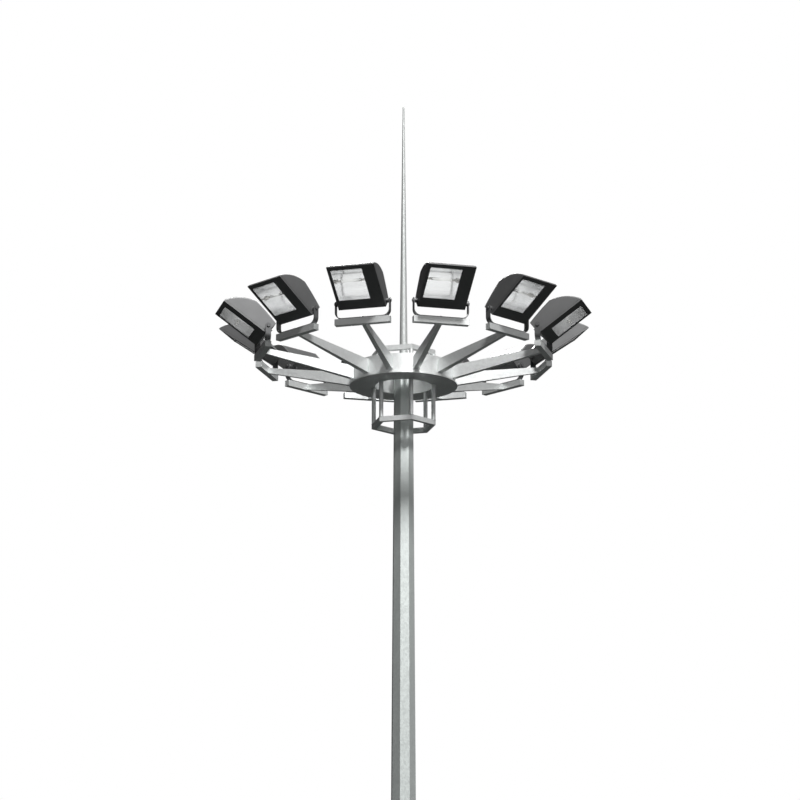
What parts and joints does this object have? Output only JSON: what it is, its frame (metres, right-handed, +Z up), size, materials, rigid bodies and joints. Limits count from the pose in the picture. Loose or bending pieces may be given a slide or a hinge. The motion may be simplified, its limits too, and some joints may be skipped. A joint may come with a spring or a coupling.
{
  "type": "high mast floodlight tower",
  "caption": "High mast lighting tower: a tapered octagonal steel mast with a lowering ring carriage of tilting floodlights on box arms and a lightning spire.",
  "frame": {"origin": "centre of the base flange's underside", "axes": "+Z up the mast; +X towards the first floodlight, whose window is the opposite hand"},
  "size_m": [3.9732, 3.9732, 23.055],
  "materials": {
    "galvanised_steel": "satin",
    "spire_steel": "satin",
    "rope_steel": "satin",
    "cast_sheave": "matte",
    "bracket_paint": "satin",
    "floodlight_casting": "satin",
    "window_glass": "gloss",
    "bright_reflector": "polished"
  },
  "bodies": {
    "mast": {"base_flange": "galvanised_steel", "base_gussets": "galvanised_steel", "shaft_lower": "galvanised_steel", "shaft_upper": "galvanised_steel", "door_frame": "galvanised_steel", "door_cover": "galvanised_steel", "head_frame": "galvanised_steel", "hoist_sheaves": "cast_sheave", "rope_bends": "rope_steel", "spire_pedestal": "galvanised_steel", "lightning_spire": "spire_steel", "hoist_ropes": "rope_steel"},
    "carriage": {"drum_bottom_plate": "galvanised_steel", "drum_outer_wall": "galvanised_steel", "drum_inner_wall": "galvanised_steel", "drum_top_plate": "galvanised_steel", "cage_upper_ring": "galvanised_steel", "cage_lower_ring": "galvanised_steel", "cage_posts": "galvanised_steel", "rope_lugs": "galvanised_steel", "carriage_arms": "galvanised_steel", "crossbars": "galvanised_steel", "crossbar_caps": "galvanised_steel", "yokes": "bracket_paint"},
    "floodlight_01": {"floodlight_01_housing": "floodlight_casting", "floodlight_01_glass": "window_glass", "floodlight_01_reflector": "bright_reflector"},
    "floodlight_02": {"floodlight_02_housing": "floodlight_casting", "floodlight_02_glass": "window_glass", "floodlight_02_reflector": "bright_reflector"},
    "floodlight_03": {"floodlight_03_housing": "floodlight_casting", "floodlight_03_glass": "window_glass", "floodlight_03_reflector": "bright_reflector"},
    "floodlight_04": {"floodlight_04_housing": "floodlight_casting", "floodlight_04_glass": "window_glass", "floodlight_04_reflector": "bright_reflector"},
    "floodlight_05": {"floodlight_05_housing": "floodlight_casting", "floodlight_05_glass": "window_glass", "floodlight_05_reflector": "bright_reflector"},
    "floodlight_06": {"floodlight_06_housing": "floodlight_casting", "floodlight_06_glass": "window_glass", "floodlight_06_reflector": "bright_reflector"},
    "floodlight_07": {"floodlight_07_housing": "floodlight_casting", "floodlight_07_glass": "window_glass", "floodlight_07_reflector": "bright_reflector"},
    "floodlight_08": {"floodlight_08_housing": "floodlight_casting", "floodlight_08_glass": "window_glass", "floodlight_08_reflector": "bright_reflector"},
    "floodlight_09": {"floodlight_09_housing": "floodlight_casting", "floodlight_09_glass": "window_glass", "floodlight_09_reflector": "bright_reflector"},
    "floodlight_10": {"floodlight_10_housing": "floodlight_casting", "floodlight_10_glass": "window_glass", "floodlight_10_reflector": "bright_reflector"},
    "floodlight_11": {"floodlight_11_housing": "floodlight_casting", "floodlight_11_glass": "window_glass", "floodlight_11_reflector": "bright_reflector"},
    "floodlight_12": {"floodlight_12_housing": "floodlight_casting", "floodlight_12_glass": "window_glass", "floodlight_12_reflector": "bright_reflector"}
  },
  "joints": [
    {"name": "carriage_lift", "type": "slide", "parent": "mast", "child": "carriage", "axis": [0, 0, 1], "range_m": [-18, 0], "deforming": ["hoist_ropes"]},
    {"name": "floodlight_01_tilt", "type": "hinge", "parent": "carriage", "child": "floodlight_01", "pos_m": [1.52, 0, 20.3895], "axis": [0, -1, 0], "range_deg": [-35, 55]},
    {"name": "floodlight_02_tilt", "type": "hinge", "parent": "carriage", "child": "floodlight_02", "pos_m": [1.31636, 0.76, 20.3895], "axis": [0.5, -0.866, 0], "range_deg": [-35, 55]},
    {"name": "floodlight_03_tilt", "type": "hinge", "parent": "carriage", "child": "floodlight_03", "pos_m": [0.76, 1.31636, 20.3895], "axis": [0.866, -0.5, 0], "range_deg": [-35, 55]},
    {"name": "floodlight_04_tilt", "type": "hinge", "parent": "carriage", "child": "floodlight_04", "pos_m": [0, 1.52, 20.3895], "axis": [1, 0, 0], "range_deg": [-35, 55]},
    {"name": "floodlight_05_tilt", "type": "hinge", "parent": "carriage", "child": "floodlight_05", "pos_m": [-0.76, 1.31636, 20.3895], "axis": [0.866, 0.5, 0], "range_deg": [-35, 55]},
    {"name": "floodlight_06_tilt", "type": "hinge", "parent": "carriage", "child": "floodlight_06", "pos_m": [-1.31636, 0.76, 20.3895], "axis": [0.5, 0.866, 0], "range_deg": [-35, 55]},
    {"name": "floodlight_07_tilt", "type": "hinge", "parent": "carriage", "child": "floodlight_07", "pos_m": [-1.52, 0, 20.3895], "axis": [0, 1, 0], "range_deg": [-35, 55]},
    {"name": "floodlight_08_tilt", "type": "hinge", "parent": "carriage", "child": "floodlight_08", "pos_m": [-1.31636, -0.76, 20.3895], "axis": [-0.5, 0.866, 0], "range_deg": [-35, 55]},
    {"name": "floodlight_09_tilt", "type": "hinge", "parent": "carriage", "child": "floodlight_09", "pos_m": [-0.76, -1.31636, 20.3895], "axis": [-0.866, 0.5, 0], "range_deg": [-35, 55]},
    {"name": "floodlight_10_tilt", "type": "hinge", "parent": "carriage", "child": "floodlight_10", "pos_m": [0, -1.52, 20.3895], "axis": [-1, 0, 0], "range_deg": [-35, 55]},
    {"name": "floodlight_11_tilt", "type": "hinge", "parent": "carriage", "child": "floodlight_11", "pos_m": [0.76, -1.31636, 20.3895], "axis": [-0.866, -0.5, 0], "range_deg": [-35, 55]},
    {"name": "floodlight_12_tilt", "type": "hinge", "parent": "carriage", "child": "floodlight_12", "pos_m": [1.31636, -0.76, 20.3895], "axis": [-0.5, -0.866, 0], "range_deg": [-35, 55]}
  ]
}
